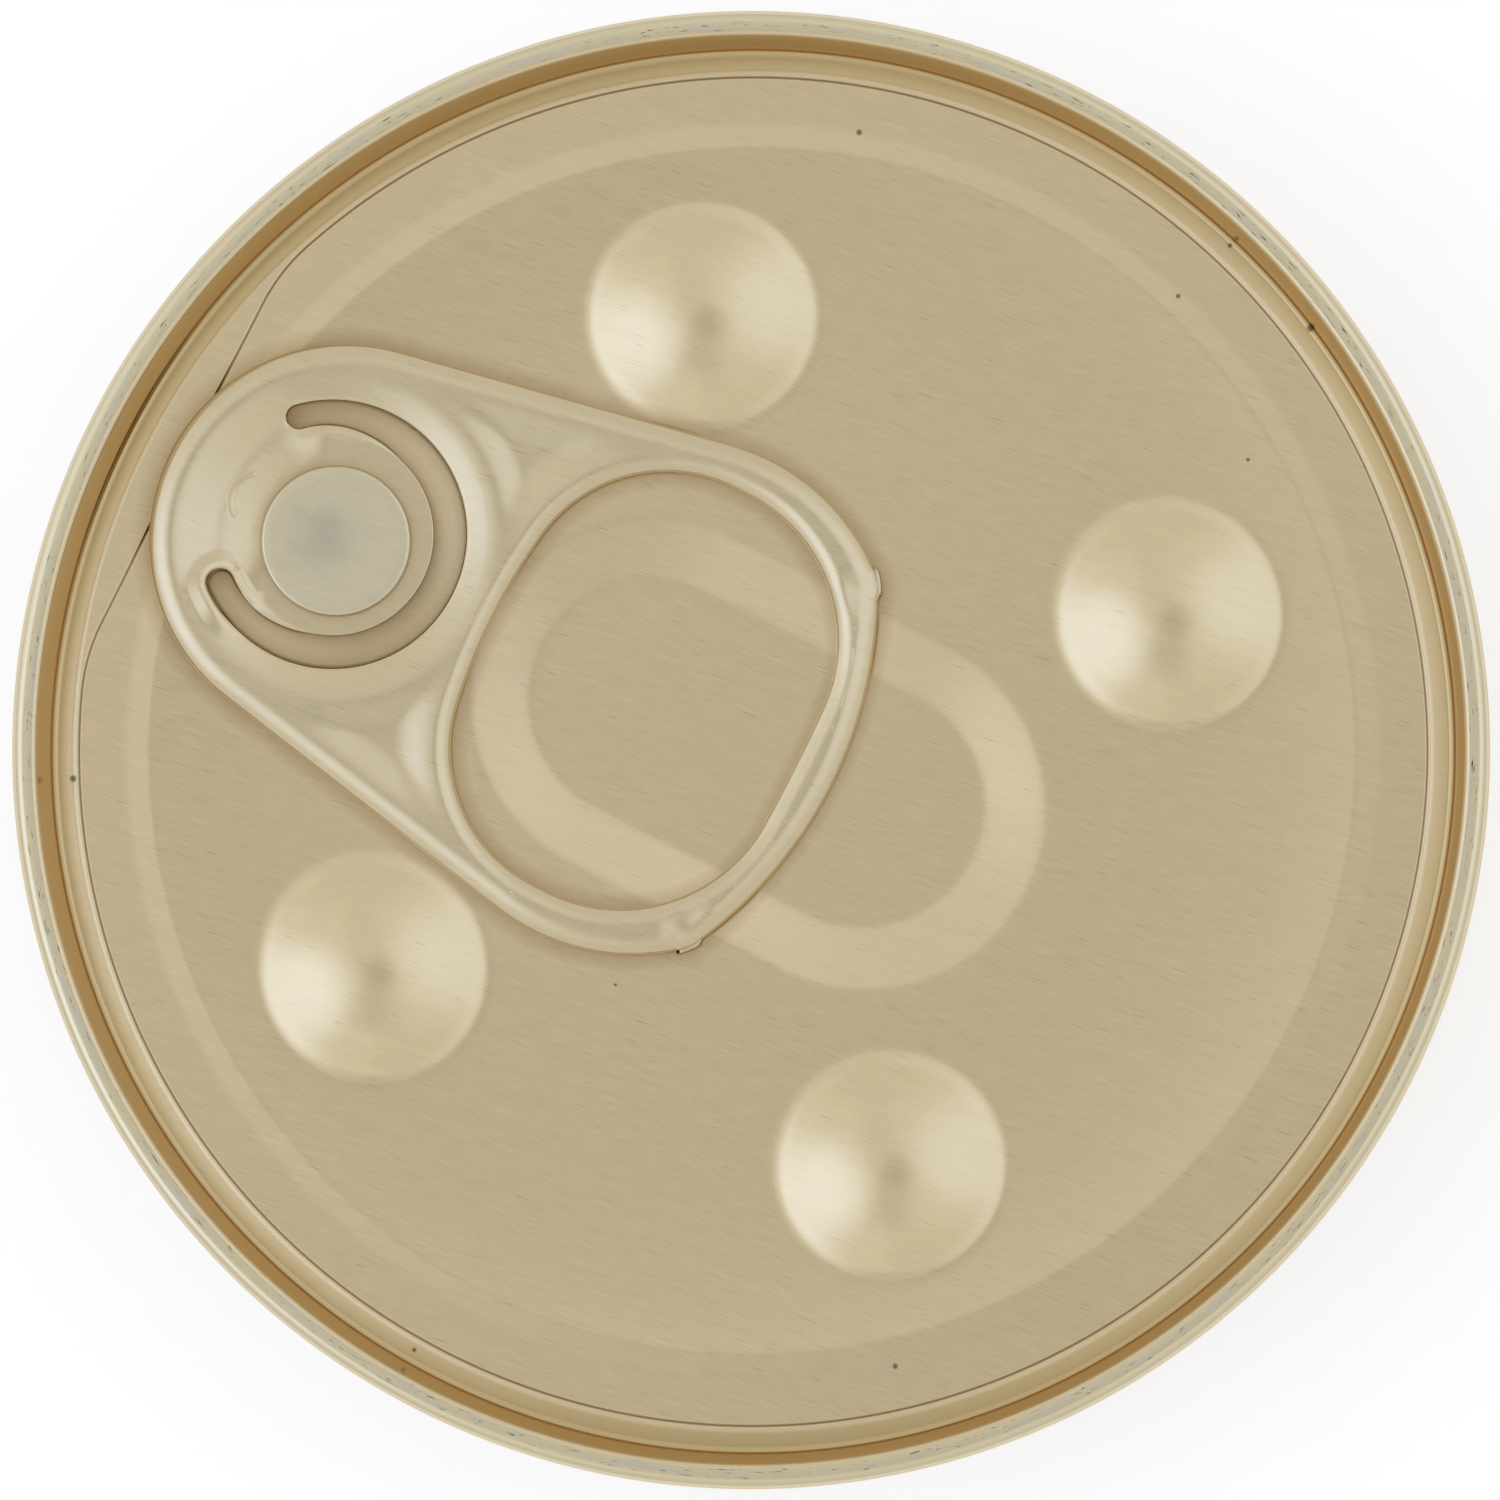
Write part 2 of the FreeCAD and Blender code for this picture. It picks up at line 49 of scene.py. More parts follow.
def linear(code):
    """Linear RGBA of an sRGB hex colour."""
    shares = [int(code[i:i + 2], 16) / 255 for i in (1, 3, 5)]
    return (*(c / 12.92 if c <= 0.04045 else ((c + 0.055) / 1.055) ** 2.4 for c in shares), 1.0)


def node(tree, kind, inputs=(), **settings):
    """Adds a shader node. inputs gives each socket a value or another node's output."""
    made = tree.nodes.new("ShaderNode" + kind)
    for name, value in settings.items():
        setattr(made, name, value)
    for name, value in dict(inputs).items():
        if isinstance(value, bpy.types.NodeSocket):
            tree.links.new(value, made.inputs[name])
        else:
            made.inputs[name].default_value = value
    return made


def rounded(corners, step=0.04):
    """Points (r, z) along a profile of (r, z, bend radius) corners, step mm apart in its bends."""
    points = [np.array(corners[0][:2], float)]
    for (*before, _), (*corner, radius), (*after, _) in zip(corners, corners[1:], corners[2:]):
        before, corner, after = (np.array(p, float) for p in (before, corner, after))
        into = (corner - before) / np.linalg.norm(corner - before)
        out = (after - corner) / np.linalg.norm(after - corner)
        turn = math.acos(np.clip(into @ out, -1, 1))
        if radius <= 0 or turn < 1e-5:
            points.append(corner)
            continue
        centre = corner + (out - into) / np.linalg.norm(out - into) * radius / math.cos(turn / 2)
        first = corner - into * radius * math.tan(turn / 2) - centre
        side = math.copysign(1, into[0] * out[1] - into[1] * out[0])
        bits = max(3, round(radius * turn / step), round(turn / math.radians(8)))
        for i in range(bits + 1):
            a = side * turn * i / bits
            points.append(centre + (first[0] * math.cos(a) - first[1] * math.sin(a),
                                    first[0] * math.sin(a) + first[1] * math.cos(a)))
    points.append(np.array(corners[-1][:2], float))
    return points


def piece(name, coords, faces, lay, material, slot, stands_for):
    """A smooth mesh from millimetres that rides on the can. Its UVs are the places that
    lay(coords) gives, in millimetres on the flat sheet."""
    mesh = bpy.data.meshes.new(name)
    mesh.from_pydata([(x * MM, y * MM, z * MM) for x, y, z in coords], [], faces)
    mesh.update()
    mesh.shade_smooth()
    flat = mesh.uv_layers.new(name="sheet").data
    places = lay(coords)
    corner_vertex = np.empty(len(mesh.loops), np.int32)
    mesh.loops.foreach_get("vertex_index", corner_vertex)
    flat.foreach_set("uv", places[corner_vertex].ravel())
    mesh.materials.append(material)
    made = bpy.data.objects.new(name, mesh)
    bpy.context.scene.collection.objects.link(made)
    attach(made, "root")
    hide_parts(stands_for)
    return made


def spun(profile, centre=(0, 0), steps=SPIN_STEPS):
    """Vertices and faces of a profile, (r, z) points, turned about a vertical axis."""
    coords, faces, rings = [], [], []
    for r, z in profile:
        if r < 1e-6:
            rings.append([len(coords)] * steps)
            coords.append((centre[0], centre[1], z))
            continue
        rings.append(list(range(len(coords), len(coords) + steps)))
        for i in range(steps):
            a = 2 * math.pi * i / steps
            coords.append((centre[0] + r * math.cos(a), centre[1] + r * math.sin(a), z))
    for low, high in zip(rings, rings[1:]):
        for i in range(steps):
            j = (i + 1) % steps
            quad = [low[i], low[j], high[j], high[i]]
            faces.append([v for n, v in enumerate(quad) if v not in quad[:n]])
    return np.array(coords), faces


LACQUER = "#D9C79E"             # the gold that the clear epoxy lacquer gives bare aluminium
ROLLING = math.radians(6.8)     # the sheet's rolling direction, from the can's X axis


def rolled_flat(coords):
    """Where each point lay on the flat sheet: u along its rolling direction, v across it."""
    x, y = coords[:, 0], coords[:, 1]
    return np.stack([x * math.cos(ROLLING) + y * math.sin(ROLLING),
                     y * math.cos(ROLLING) - x * math.sin(ROLLING)], axis=1)


def drawn_flat(coords):
    """The same for the drawn cup, whose grain was pulled upright: u up the wall, v round it."""
    mean_radius = 30
    x, y, z = coords.T
    return np.stack([z + np.hypot(x, y), mean_radius * np.arctan2(y, x)], axis=1)


def lacquered_aluminium(name, lacquer, roughness=0.16, grain=1.0, coat=0.7,
                        edge="#FFFFFF", nook_shade="#CDB083", finish=None):
    """Rolled aluminium sheet under a clear gold lacquer: a satin metal whose rolling lines show
    through the coat, with fine scratches along them and a few specks caught in the lacquer.
    grain is how strongly the lines show, edge tints what is seen edge-on, where light crosses
    more of the lacquer, nook_shade is the colour of the painted shade that darkens the nooks,
    and finish(tree, colour) adds what only one piece shows."""
    material = bpy.data.materials.new(name)
    material.use_nodes = True
    tree = material.node_tree
    tree.nodes.clear()
    sheet = node(tree, "UVMap", uv_map="sheet").outputs[0]

    # Rolling lines are about 0.02 mm apart; drawn 0.1 mm apart so that they show.
    def lines(along, across, detail):
        """Streaks with the given length and width in mm, along the rolling direction."""
        stretched = node(tree, "Mapping", {0: sheet, 3: (1 / along, 1 / across, 1)})
        return node(tree, "TexNoise", {0: stretched.outputs[0], "Scale": 1.0, "Detail": detail,
                                       "Roughness": 0.6}).outputs[0]
    fine = lines(1.5, 0.08, 2.0)
    broad = lines(9.0, 0.7, 2.0)
    wear = lines(1.2, 0.05, 0.0)
    scratch = node(tree, "MapRange", {0: wear, 1: 0.76, 2: 0.86, 3: 0.0, 4: 0.45 * grain})
    # One cell in each 7 mm square may hold a speck, about 0.2 mm across.
    cells = node(tree, "TexVoronoi", {0: sheet, "Scale": 0.14, "Randomness": 1.0})
    speck = node(tree, "MapRange", {0: cells.outputs[0], 1: 0.011, 2: 0.018, 3: 1.0, 4: 0.0})
    rare = node(tree, "SeparateColor", {0: cells.outputs[1]})
    speck = node(tree, "Math", {0: speck.outputs[0], 1: rare.outputs[0]}, operation="MULTIPLY")

    shade = node(tree, "MapRange", {0: fine, 1: 0.25, 2: 0.75, 3: 1 - 0.04 * grain,
                                    4: 1 + 0.03 * grain})
    band = node(tree, "MapRange", {0: broad, 1: 0.25, 2: 0.75, 3: 0.975, 4: 1.02})
    tone = node(tree, "Math", {0: shade.outputs[0], 1: band.outputs[0]}, operation="MULTIPLY")
    colour = node(tree, "VectorMath", {0: linear(lacquer)[:3], 3: tone.outputs[0]},
                  operation="SCALE")
    scratched = node(tree, "Mix", {0: scratch.outputs[0], 6: colour.outputs[0],
                                   7: linear("#8E7C58")}, data_type="RGBA")
    specked = node(tree, "Mix", {0: speck.outputs[0], 6: scratched.outputs[2],
                                 7: linear("#3A3024")}, data_type="RGBA")
    colour = finish(tree, specked.outputs[2]) if finish else specked.outputs[2]
    # Painted shade: the colour is darkened and browned in the nooks, within a millimetre of the
    # next surface, where the parts shade each other.
    nook = node(tree, "AmbientOcclusion", {"Distance": 1.1 * MM}, samples=4)
    clear = node(tree, "MapRange", {0: nook.outputs["AO"], 1: 0.35, 2: 0.97})
    nook_shaded = node(tree, "Mix", {0: 1.0, 6: colour, 7: linear(nook_shade)}, data_type="RGBA",
                   blend_type="MULTIPLY").outputs[2]
    colour = node(tree, "Mix", {0: clear.outputs[0], 6: nook_shaded, 7: colour},
                  data_type="RGBA").outputs[2]
    satin = node(tree, "MapRange", {0: fine, 1: 0.3, 2: 0.7, 3: roughness - 0.03,
                                    4: roughness + 0.03})
    relief = node(tree, "Bump", {"Height": fine, "Strength": 0.4 * grain,
                                 "Distance": 0.003 * MM})
    shader = node(tree, "BsdfPrincipled", {
        "Base Color": colour, "Metallic": 1.0, "Roughness": satin.outputs[0],
        "Normal": relief.outputs[0], "Specular Tint": linear(edge), "Coat Weight": coat,
        "Coat Roughness": 0.12})
    node(tree, "OutputMaterial", {0: shader.outputs[0]})
    return material


# From the middle of the base out to the seam: (r, z, bend radius).
body_profile = rounded([
    (0, 1.5, 0), (19.0, 1.5, 0.6), (19.4, 1.1, 0.6), (25.05, 1.1, 0.6), (26.15, 0, 1.1),
    (31.85, 0, 4.1), (32.97, 32.02, 0.9), (33.32, 33.32, 1.1), (33.5, 35.9, 0)], step=0.15)
LONGEST_FACET = 1.5
wall_points = []
for (r0, z0), (r1, z1) in zip(body_profile, body_profile[1:]):
    bits = max(1, round(math.hypot(r1 - r0, z1 - z0) / LONGEST_FACET))
    wall_points += [(r0 + (r1 - r0) * i / bits, z0 + (z1 - z0) * i / bits) for i in range(bits)]
wall_points.append(tuple(body_profile[-1]))
body_sheet = lacquered_aluminium("drawn_gold_lacquered_aluminium", LACQUER, roughness=0.24)
piece("can_wall", *spun(wall_points), drawn_flat, body_sheet, "drawn_body", "can_body")

# --- double seam --------------------------------------------------------------------------------
# The rim of the lid, folded with the body's flange and ironed flat by the seaming rolls. The lid's
# sheet then runs down the chuck wall and through the countersink to the edge of the panel.
PANEL_RADIUS = 31.58            # where the flat panel starts
PANEL_TOP = 34.7
SEAM_MIDDLE = 33.6              # radius of the middle of the seam's flat crown
# Under the cover hook, up round the crown, and down the chuck wall: (r, z, bend radius).
seam_profile = rounded([
    (33.5, 35.3, 0), (33.7, 35.1, 0.15), (34.35, 35.1, 0.35), (34.35, 38.0, 0.515),
    (33.215, 38.0, 0.25), (32.66, 34.55, 0.30), (31.8, 34.66, 0.6),
    (PANEL_RADIUS, PANEL_TOP, 0)])


def specked(tree, colour, specks):
    """Adds dark specks of dirt at (x, y, radius)."""
    place = node(tree, "TexCoord").outputs["Object"]
    flat = node(tree, "VectorMath", {0: place, 1: (1, 1, 0)}, operation="MULTIPLY").outputs[0]
    for x, y, size in specks:
        off = node(tree, "VectorMath", {0: flat, 1: (x * MM, y * MM, 0)}, operation="DISTANCE")
        mask = node(tree, "MapRange", {0: off.outputs["Value"], 1: 0.3 * size * MM, 2: size * MM,
                                       3: 0.8, 4: 0.0}, interpolation_type="SMOOTHSTEP").outputs[0]
        colour = node(tree, "Mix", {0: mask, 6: colour, 7: linear("#41372A")},
                      data_type="RGBA").outputs[2]
    return colour


def seam_wear_and_shade(tree, colour):
    """Down the chuck wall the colour is set a greyer gold, and the countersink at its foot is
    painted darker and browner, as painted shade where the wall and the panel shade and reflect
    each other. The fold's crown is rubbed to bare metal in streaks along the seam, with small
    black nicks."""
    place = node(tree, "TexCoord").outputs["Object"]
    flat = node(tree, "VectorMath", {0: place, 1: (1, 1, 0)}, operation="MULTIPLY").outputs[0]
    radius = node(tree, "VectorMath", {0: flat}, operation="LENGTH").outputs["Value"]
    axes = node(tree, "SeparateXYZ", {0: place})
    turn = node(tree, "Math", {0: axes.outputs[1], 1: axes.outputs[0]}, operation="ARCTAN2")
    around = node(tree, "Math", {0: turn.outputs[0], 1: SEAM_MIDDLE * MM},
                  operation="MULTIPLY")
    along = node(tree, "CombineXYZ", {0: around.outputs[0], 1: radius, 2: axes.outputs[2]})

    def patches(length, width, low, high, shift):
        """Ragged streaks along the seam, where the noise passes from low to high."""
        stretched = node(tree, "Mapping", {0: along.outputs[0], 1: (shift, 0, 0),
                                           3: (1 / (length * MM), 1 / (width * MM),
                                               1 / (width * MM))})
        noise = node(tree, "TexNoise", {0: stretched.outputs[0], "Scale": 1.0, "Detail": 3.0,
                                        "Roughness": 0.65})
        return node(tree, "MapRange", {0: noise.outputs[0], 1: low, 2: high}).outputs[0]

    def between(value, start, stop):
        """Rises from 0 at start to 1 at stop, which may be the smaller of the two."""
        return node(tree, "MapRange", {0: value, 1: start * MM, 2: stop * MM},
                    interpolation_type="SMOOTHSTEP").outputs[0]

    def both(one, other):
        return node(tree, "Math", {0: one, 1: other}, operation="MULTIPLY").outputs[0]

    def laid(share, under, hue):
        return node(tree, "Mix", {0: share, 6: under, 7: linear(hue)}, data_type="RGBA").outputs[2]

    # From the crown out over the shoulder, and from the crown down to the edge of the panel. The
    #     countersink's darker colour is painted shade.
    for start, stop, hue in ((33.35, 33.50, "#DCCFAB"), (33.95, 34.20, "#D2C5A5"),
                             (33.32, 33.22, "#DAC6A6"), (32.66, 32.56, "#C6B183"),
                             (31.85, 31.62, LACQUER)):
        colour = laid(between(radius, start, stop), colour, hue)
    crown = both(between(radius, 33.38, 33.46), between(radius, 33.92, 33.80))
    crown = both(crown, between(axes.outputs[2], 37.3, 37.5))
    colour = laid(both(crown, patches(5.0, 0.20, 0.50, 0.66, 3.0)), colour, "#D2CBBC")
    colour = laid(both(crown, patches(0.9, 0.10, 0.61, 0.68, 8.0)), colour, "#4A4338")
    return specked(tree, colour, ((-27.73, -15.41, 0.24), (14.34, 29.30, 0.26),
                                  (9.25, 31.04, 0.16), (-1.5, -32.0, 0.15)))


seam_sheet = lacquered_aluminium("seamed_gold_lacquered_aluminium", LACQUER, roughness=0.18,
                                 coat=0.15, edge="#F0E0C8", nook_shade="#F4EADC", finish=seam_wear_and_shade)
piece("end_seam", *spun(seam_profile, steps=2 * SPIN_STEPS), rolled_flat, seam_sheet,
      "lacquered_lid", "lid")

# --- lid panel ----------------------------------------------------------------------------------
# The easy-open end's panel, pressed from the same lacquered sheet: a score to tear along, a low
# ridge round a shallow dish, four stiffening domes, and a finger well under the pull ring.
FLOOR_TOP = 34.52               # the bottom of the dish
SCORE_RADIUS, SCORE_CORNER, SCORE_FLAT_X = 31.443, 9.0, -29.843  # straight under the nose
SCORE_WIDTH, SCORE_DEPTH = 0.16, 0.07
RIDGE_RADIUS, RIDGE_WIDTH, RIDGE_RISE = 28.14, 1.1, 0.03
DISH_FLOOR_RADIUS = 14.5        # where the dish starts to climb to the ridge
DOMES = [(-11.29, 17.14), (-11.29, -17.14), (14.58, 14.48), (14.58, -14.48)]
DOME_RADIUS, DOME_HEIGHT = 5.1, 1.0
DOME_BLEND = 0.2                # how far the sheet is lifted into a dome's foot
SEAT_X, SEAT_RADIUS, SEAT_FOOT = -21.743, 4.2, 6.8
WELL_ENDS = [(-5.31, 0.0), (5.79, 0.0)]
WELL_TOP, WELL_FLOOR, WELL_DEPTH = 8.45, 5.66, 0.24


def smooth(t):
    """0 to 1 with level ends."""
    t = np.clip(t, 0, 1)
    return t * t * (3 - 2 * t)


def wrap(circles, by=0.0, step=0.25):
    """Points and outward normals along the convex outline, anticlockwise, round circles
    (x, y, r), moved outwards by a distance."""
    touches = []
    for (x1, y1, r1), (x2, y2, r2) in zip(circles, circles[1:] + circles[:1]):
        share = (r1 - r2) / math.hypot(x2 - x1, y2 - y1)
        if abs(share) > 1 - 1e-6:
            share = math.copysign(1.0, share)
        touches.append(math.atan2(y2 - y1, x2 - x1) - math.acos(share))
    points, normals = [], []
    for n, (x, y, r) in enumerate(circles):
        start, sweep = touches[n - 1], (touches[n] - touches[n - 1]) % (2 * math.pi)
        bits = max(1, round(max(r, 1) * sweep / step))
        r += by
        for i in range(bits + 1):
            a = start + sweep * i / bits
            points.append((x + r * math.cos(a), y + r * math.sin(a)))
            normals.append((math.cos(a), math.sin(a)))
        nx, ny, nr = circles[(n + 1) % len(circles)]
        nr += by
        begin = np.array(points[-1])
        run = (nx + nr * normals[-1][0], ny + nr * normals[-1][1]) - begin
        bits = max(1, round(np.linalg.norm(run) / step))
        for i in range(1, bits):
            points.append(tuple(begin + run * i / bits))
            normals.append(normals[-1])
    keep = [i for i in range(len(points)) if math.dist(points[i], points[i - 1]) > 1e-3]
    return np.array(points)[keep], np.array(normals)[keep]


def ring(x, y, r, step=0.25):
    """Points round a circle."""
    a = np.linspace(0, 2 * math.pi, max(24, round(2 * math.pi * r / step)), endpoint=False)
    return np.stack([x + r * np.cos(a), y + r * np.sin(a)], axis=1)


def within(points, loop):
    """Which points lie inside a closed loop."""
    x, y = points[:, 0], points[:, 1]
    inside = np.zeros(len(points), bool)
    for (x0, y0), (x1, y1) in zip(loop, np.roll(loop, -1, axis=0)):
        if y0 == y1:
            continue
        crossing = (y0 > y) != (y1 > y)
        inside ^= crossing & (x < (x1 - x0) * (y - y0) / (y1 - y0) + x0)
    return inside


def formed_sheet(edge, holes, creases, spacing, height):
    """Vertices and faces of a pressed sheet: its plan between the edge and the holes, meshed
    finely along its creases and every spacing mm elsewhere, and raised to height(x, y)."""
    loops = [edge] + list(holes) + list(creases)
    near = KDTree(sum(len(loop) for loop in loops))
    for count, (x, y) in enumerate(np.concatenate(loops)):
        near.insert((x, y, 0), count)
    near.balance()
    low, high = edge.min(axis=0), edge.max(axis=0)
    rows = np.arange(low[1], high[1], spacing * math.sqrt(0.75))
    seeds = np.array([(x + spacing / 2 * (n % 2), y) for n, y in enumerate(rows)
                      for x in np.arange(low[0], high[0], spacing)])
    seeds = seeds[within(seeds, edge)]
    for hole in holes:
        seeds = seeds[~within(seeds, hole)]
    seeds = [s for s in seeds if near.find((s[0], s[1], 0))[2] > 0.7 * spacing]
    points, edges = [], []
    for loop in loops:
        base = len(points)
        points += [Vector(p) for p in loop]
        edges += [(base + i, base + (i + 1) % len(loop)) for i in range(len(loop))]
    points += [Vector(s) for s in seeds]
    flat, _, faces, *_ = delaunay_2d_cdt(points, edges, [], 0, 1e-5, False)
    plan = np.array([tuple(p) for p in flat])
    faces = np.array(faces)
    middles = plan[faces].mean(axis=1)
    keep = within(middles, edge)
    for hole in holes:
        keep &= ~within(middles, hole)
    faces = faces[keep]
    a, b, c = (plan[faces[:, i]] for i in range(3))
    turned = (b - a)[:, 0] * (c - a)[:, 1] - (b - a)[:, 1] * (c - a)[:, 0] < 0
    faces[turned] = faces[turned][:, ::-1]
    used = np.unique(faces)
    number = np.zeros(len(plan), int)
    number[used] = np.arange(len(used))
    plan = plan[used]
    coords = np.column_stack([plan, height(plan[:, 0], plan[:, 1])])
    return coords, number[faces].tolist()


def to_segment(x, y, ends):
    """Distance to the line between two points."""
    (x0, y0), (x1, y1) = ends
    t = np.clip(((x - x0) * (x1 - x0) + (y - y0) * (y1 - y0)) /
                ((x1 - x0) ** 2 + (y1 - y0) ** 2), 0, 1)
    return np.hypot(x - x0 - t * (x1 - x0), y - y0 - t * (y1 - y0))


def to_loop(x, y, loop, reach=3):
    """Distance to a closed loop of points, measured where that is within reach."""
    best = np.full(len(x), 1e9)
    for start, stop in zip(loop, np.roll(loop, -1, axis=0)):
        near = (abs(x - start[0]) < reach) & (abs(y - start[1]) < reach)
        best[near] = np.minimum(best[near], to_segment(x[near], y[near], (start, stop)))
    return best


score_x = SCORE_FLAT_X + SCORE_CORNER
score_y = math.sqrt((SCORE_RADIUS - SCORE_CORNER) ** 2 - score_x ** 2)
score_line = [(0.0, 0.0, SCORE_RADIUS), (score_x, score_y, SCORE_CORNER),
              (score_x, -score_y, SCORE_CORNER)]
score_middle, _ = wrap(score_line, step=0.3)


def ramp(t, soft):
    """0 to 1 at an even slope, with its two corners rounded."""
    t = np.clip(t, -soft, 1 + soft)
    over = np.maximum(t - 1 + soft, 0)
    return np.where(t < soft, (t + soft) ** 2 / (4 * soft), t) - over ** 2 / (4 * soft)


def panel_height(x, y):
    """Top of the pressed panel: dish and ridge, then seat, finger well, domes and score."""
    r = np.hypot(x, y)
    slope = np.clip((r - DISH_FLOOR_RADIUS) / (RIDGE_RADIUS - DISH_FLOOR_RADIUS), 0, 1)
    crest = PANEL_TOP + RIDGE_RISE
    dish = FLOOR_TOP + (crest - FLOOR_TOP) * slope ** 3
    outer = PANEL_TOP + RIDGE_RISE * (1 - ramp((r - RIDGE_RADIUS) / RIDGE_WIDTH, 0.15))
    z = np.where(r < RIDGE_RADIUS, dish, outer)
    seat = 1 - smooth((np.hypot(x - SEAT_X, y) - SEAT_RADIUS) / (SEAT_FOOT - SEAT_RADIUS))
    z = z + (PANEL_TOP - z) * seat
    inward = to_segment(x, y, WELL_ENDS)
    z = z - WELL_DEPTH * ramp((WELL_TOP - inward) / (WELL_TOP - WELL_FLOOR), 0.09)
    sphere = (DOME_RADIUS ** 2 + DOME_HEIGHT ** 2) / (2 * DOME_HEIGHT)
    for cx, cy in DOMES:
        d = np.hypot(x - cx, y - cy)
        cap = np.sqrt(np.maximum(sphere ** 2 - d ** 2, 0)) - (sphere - DOME_HEIGHT)
        lift = FLOOR_TOP + cap - z
        blend = (lift + DOME_BLEND) ** 2 / (4 * DOME_BLEND)
        z = z + np.where(lift > DOME_BLEND, lift, np.where(lift < -DOME_BLEND, 0, blend))
    return z - SCORE_DEPTH * (1 - smooth(to_loop(x, y, score_middle) / (SCORE_WIDTH / 2)))


# Each form's mesh lines follow it: offsets from the score, the ridge and the well, and radii.
creases = [wrap(score_line, by=by, step=0.3)[0]
           for by in (-0.30, -0.18, -0.11, -0.08, -0.04, 0.0, 0.04, 0.08, 0.11)]
creases += [ring(0, 0, RIDGE_RADIUS + by)
            for by in (-0.15, 0, 0.1, 0.25, 0.55, 0.85, 1.0, 1.1, 1.25)]
creases += [ring(cx, cy, r, step=0.35) for cx, cy in DOMES
            for r in (0.6, 1.5, 2.4, 3.2, 3.9, 4.4, 4.7, 4.9, 5.1, 5.3, 5.6, 5.9)]
creases += [ring(SEAT_X, 0, r) for r in (4.2, 4.6, 5.1, 5.6, 6.1, 6.5, 6.8)]
well_circles = [(*WELL_ENDS[1], WELL_TOP), (*WELL_ENDS[0], WELL_TOP)]
creases += [wrap(well_circles, by=-inset, step=0.35)[0]
            for inset in (-0.3, -0.1, 0.0, 0.1, 0.3, 0.9, 1.4, 1.9, 2.5, 2.7, 2.8, 2.9, 3.1)]


def panel_marks_and_shade(tree, colour):
    """Painted shade on the panel under the tab, round the rivet's seat; the cut score, painted
    grey partly as shade in its groove; and a few dark specks.
    """
    place = node(tree, "TexCoord").outputs["Object"]
    # Painted shade: the panel under the tab's slot is painted browner within 6.3 mm of the seat's     middle, fading out by 7.6 mm.
    off = node(tree, "VectorMath", {0: place, 1: (SEAT_X * MM, 0, PANEL_TOP * MM)},
               operation="DISTANCE").outputs["Value"]
    seat = node(tree, "MapRange", {0: off, 1: 6.3 * MM, 2: 7.6 * MM, 3: 0.45, 4: 0.0},
                interpolation_type="SMOOTHSTEP").outputs[0]
    colour = node(tree, "Mix", {0: seat, 6: colour, 7: linear("#A58F68")},
                  data_type="RGBA").outputs[2]
    # The groove is painted as a thin grey line: partly the lacquer that cutting the score breaks,
    #     partly painted shade inside the groove. It is what lies lower than the panel outside the
    #     ridge.
    axes = node(tree, "SeparateXYZ", {0: place})
    low = node(tree, "MapRange", {0: axes.outputs[2], 1: (PANEL_TOP - 0.030) * MM,
                                  2: (PANEL_TOP - 0.065) * MM}).outputs[0]
    flat = node(tree, "VectorMath", {0: place, 1: (1, 1, 0)}, operation="MULTIPLY").outputs[0]
    radius = node(tree, "VectorMath", {0: flat}, operation="LENGTH").outputs["Value"]
    rim = node(tree, "MapRange", {0: radius, 1: 29.3 * MM, 2: 29.5 * MM}).outputs[0]
    cut = node(tree, "Math", {0: low, 1: rim}, operation="MULTIPLY").outputs[0]
    colour = node(tree, "Mix", {0: cut, 6: colour, 7: linear("#857A67")},
                  data_type="RGBA").outputs[2]
    return specked(tree, colour, ((-8.56, 27.99, 0.20), (8.16, 27.85, 0.16),
                                  (18.85, -22.57, 0.18), (14.5, 22.5, 0.13),
                                  (-0.8, -12.6, 0.10)))


PANEL_SPACING = 0.42            # between the mesh points of the plain sheet
panel_sheet = lacquered_aluminium("rolled_gold_lacquered_aluminium", LACQUER,
                                  nook_shade="#B8935D", finish=panel_marks_and_shade)
panel_mesh = formed_sheet(ring(0, 0, PANEL_RADIUS), [], creases, PANEL_SPACING, panel_height)
piece("end_panel", *panel_mesh, rolled_flat, panel_sheet, "lacquered_lid", "lid")

# --- rivet --------------------------------------------------------------------------------------
# The head of the hollow rivet that the panel's own metal was coined into, flattened over the tab.
# Coining stretched the lacquer thin, so it is paler and greyer than the sheet round it.
RIVET_X = -21.743
HEAD_RADIUS, HEAD_FOOT, HEAD_TOP = 3.53, 35.04, 35.46
SHANK_RADIUS, SHANK_FOOT = 2.2, 34.4
head_profile = rounded([
    (0, HEAD_TOP - 0.03, 0), (1.6, HEAD_TOP - 0.02, 4.0), (2.9, HEAD_TOP - 0.01, 3.0),
    (HEAD_RADIUS, HEAD_TOP - 0.01, 0.20), (HEAD_RADIUS, HEAD_FOOT, 0.14),
    (SHANK_RADIUS, HEAD_FOOT, 0), (SHANK_RADIUS, SHANK_FOOT, 0)])


